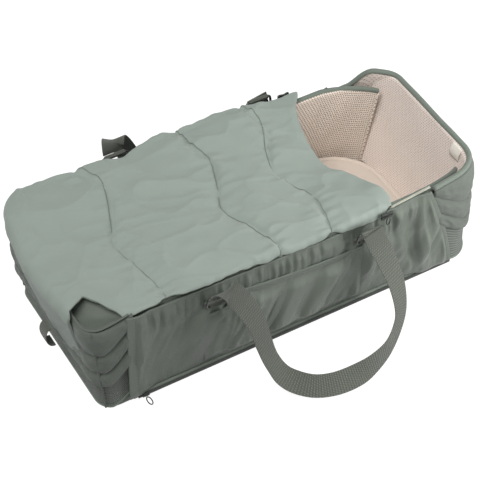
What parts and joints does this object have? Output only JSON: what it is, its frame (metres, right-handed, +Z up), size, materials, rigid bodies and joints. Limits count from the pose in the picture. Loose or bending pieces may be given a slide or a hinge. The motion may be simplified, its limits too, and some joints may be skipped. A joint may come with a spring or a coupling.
{
  "type": "soft carrycot",
  "caption": "Soft fabric baby carrycot with padded walls, a quilted zip-on cover, fold-down head end and two webbing carry handles on rings.",
  "frame": {"origin": "centre of the flat underside, on the floor", "axes": "+X from the foot to the head, +Y to the far side, +Z up"},
  "size_m": [0.784, 0.6372, 0.2272],
  "materials": {
    "shell_fabric": "matt woven polyester, padded",
    "cover_fabric": "soft brushed woven polyester, quilted",
    "skirt_fabric": "thin woven polyester with a slight sheen, gathered",
    "ribbed_knit": "ribbed knit",
    "edge_binding": "folded woven binding",
    "mesh_lining": "knitted spacer mesh with small holes",
    "mattress_fabric": "smooth cotton jersey",
    "base_board": "plain fibreboard",
    "webbing": "ribbed polyester webbing, 40 mm",
    "zip_tape": "woven zip tape with coil teeth",
    "dark_zip_tape": "woven zip tape with coil teeth",
    "label_tape": "plain woven label",
    "coated_metal": "painted zinc and steel wire"
  },
  "bodies": {
    "cot": {"base_panel": "shell_fabric", "base_board": "base_board", "mattress": "mattress_fabric", "side_wall_near": "mesh_lining", "side_wall_far": "mesh_lining", "foot_wall": "shell_fabric", "foot_rib_band": "ribbed_knit", "skirt_near": "skirt_fabric", "skirt_far": "skirt_fabric", "pocket_near": "skirt_fabric", "pocket_far": "skirt_fabric", "wall_binding_near": "edge_binding", "wall_binding_far": "edge_binding", "cover_foot": "cover_fabric", "corner_gusset_near": "shell_fabric", "corner_gusset_far": "shell_fabric", "zip_tape_near": "zip_tape", "zip_tape_far": "zip_tape", "base_zip_tape": "dark_zip_tape", "ring_tab_near_foot": "webbing", "ring_tab_near_head": "webbing", "ring_tab_far_foot": "webbing", "ring_tab_far_head": "webbing", "foot_loop": "webbing"},
    "head_end": {"head_wall": "shell_fabric", "head_rib_band": "ribbed_knit", "head_binding": "edge_binding", "head_lining": "mesh_lining", "care_tag": "label_tape"},
    "cover_middle": {"cover_mid": "cover_fabric"},
    "cover_front_panel": {"cover_front": "cover_fabric"},
    "zip_carrier_near": {"zip_slider_near": "coated_metal"},
    "zip_carrier_far": {"zip_slider_far": "coated_metal"},
    "zip_puller_near": {"zip_pull_near": "coated_metal"},
    "zip_puller_far": {"zip_pull_far": "coated_metal"},
    "base_zip_carrier": {"base_zip_slider": "coated_metal"},
    "base_zip_puller": {"base_zip_pull": "coated_metal"},
    "rings_near": {"ring_near_foot": "coated_metal", "ring_near_head": "coated_metal", "handle_end_near_foot": "webbing", "handle_end_near_head": "webbing"},
    "rings_far": {"ring_far_foot": "coated_metal", "ring_far_head": "coated_metal", "handle_end_far_foot": "webbing", "handle_end_far_head": "webbing"},
    "carry_handle_near": {"handle_near": "webbing"},
    "carry_handle_far": {"handle_far": "webbing"}
  },
  "joints": [
    {"name": "head_end_fold", "type": "hinge", "parent": "cot", "child": "head_end", "pos_m": [0.3768, 0, 0.0003], "axis": [0, 1, 0], "range_deg": [0, 88]},
    {"name": "cover_fold", "type": "hinge", "parent": "cot", "child": "cover_middle", "pos_m": [-0.243, 0, 0.221], "axis": [0, -1, 0], "range_deg": [0, 165]},
    {"name": "cover_front_fold", "type": "hinge", "parent": "cover_middle", "child": "cover_front_panel", "pos_m": [-0.045, 0, 0.221], "axis": [0, -1, 0], "range_deg": [0, 75]},
    {"name": "zip_near_slide", "type": "slide", "parent": "cot", "child": "zip_carrier_near", "axis": [-1, 0, 0], "range_m": [0, 0.4]},
    {"name": "zip_pull_near_swing", "type": "hinge", "parent": "zip_carrier_near", "child": "zip_puller_near", "pos_m": [0.169, -0.1697, 0.198], "axis": [0, 1, 0], "range_deg": [-80, 80]},
    {"name": "zip_far_slide", "type": "slide", "parent": "cot", "child": "zip_carrier_far", "axis": [-1, 0, 0], "range_m": [0, 0.4]},
    {"name": "zip_pull_far_swing", "type": "hinge", "parent": "zip_carrier_far", "child": "zip_puller_far", "pos_m": [0.169, 0.1697, 0.198], "axis": [0, 1, 0], "range_deg": [-80, 80]},
    {"name": "base_zip_slide", "type": "slide", "parent": "cot", "child": "base_zip_carrier", "axis": [1, 0, 0], "range_m": [0, 0.55]},
    {"name": "base_zip_pull_lift", "type": "hinge", "parent": "base_zip_carrier", "child": "base_zip_puller", "pos_m": [-0.283, -0.1668, 0.00485], "axis": [-1, 0, 0], "range_deg": [0, 75]},
    {"name": "ring_near_swing", "type": "hinge", "parent": "cot", "child": "rings_near", "pos_m": [0, -0.175, 0.174], "axis": [-1, 0, 0], "range_deg": [0, 24]},
    {"name": "handle_near_swing", "type": "hinge", "parent": "rings_near", "child": "carry_handle_near", "pos_m": [0, -0.18681, 0.19718], "axis": [-1, 0, 0], "range_deg": [0, 110]},
    {"name": "ring_far_swing", "type": "hinge", "parent": "cot", "child": "rings_far", "pos_m": [0, 0.175, 0.174], "axis": [1, 0, 0], "range_deg": [0, 24]},
    {"name": "handle_far_swing", "type": "hinge", "parent": "rings_far", "child": "carry_handle_far", "pos_m": [0, 0.18681, 0.19718], "axis": [1, 0, 0], "range_deg": [0, 110]}
  ],
  "couplings": [
    {"joint": "cover_front_fold", "follows": "cover_fold", "ratio": 0.45},
    {"joint": "zip_near_slide", "follows": "cover_fold", "m_per_rad": 0.135},
    {"joint": "zip_far_slide", "follows": "cover_fold", "m_per_rad": 0.135},
    {"joint": "ring_near_swing", "follows": "handle_near_swing", "ratio": 0.2},
    {"joint": "ring_far_swing", "follows": "handle_far_swing", "ratio": 0.2}
  ]
}
